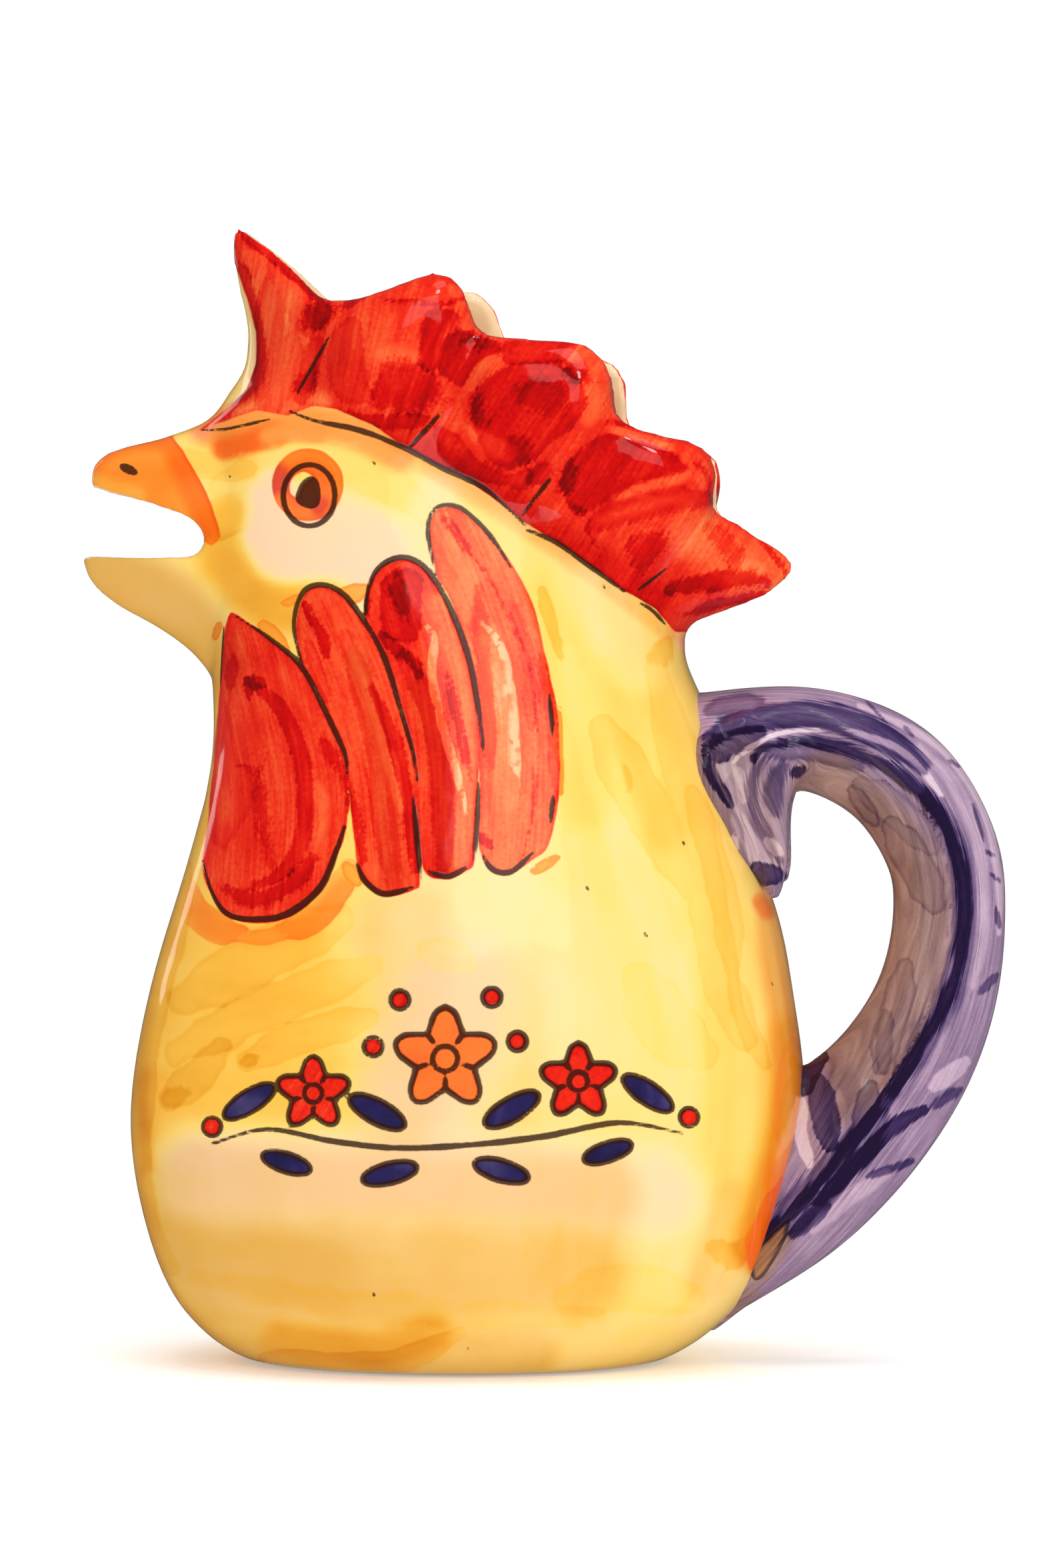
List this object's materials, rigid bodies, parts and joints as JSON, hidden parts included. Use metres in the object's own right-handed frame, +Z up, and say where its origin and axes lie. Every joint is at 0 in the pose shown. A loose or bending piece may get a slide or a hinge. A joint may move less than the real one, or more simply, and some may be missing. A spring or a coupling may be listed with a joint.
{
  "type": "ceramic jug",
  "caption": "Glazed earthenware jug in the shape of a cockerel, with an open beak as the spout, an open-topped comb as the filling mouth and a strap handle as the tail.",
  "frame": {"origin": "on the table plane, under the middle of the jug's bounding box", "axes": "+Z up, -X the way the beak points, -Y the bird's left side"},
  "size_m": [0.2018, 0.1172, 0.2478],
  "materials": {
    "cream_glaze": "glossy glaze over painted slip",
    "orange_glaze": "glossy glaze over painted slip",
    "red_glaze": "glossy glaze over painted slip",
    "violet_glaze": "glossy glaze over painted slip",
    "floor_glaze": "glossy inside, bare clay underneath"
  },
  "bodies": {
    "root": {"floor_disc": "floor_glaze", "belly_wall": "cream_glaze", "head_wall": "cream_glaze", "lower_beak": "cream_glaze", "upper_beak": "orange_glaze", "comb_left_wall": "red_glaze", "comb_right_wall": "red_glaze", "handle_strap": "violet_glaze", "handle_root": "violet_glaze"}
  },
  "joints": []
}
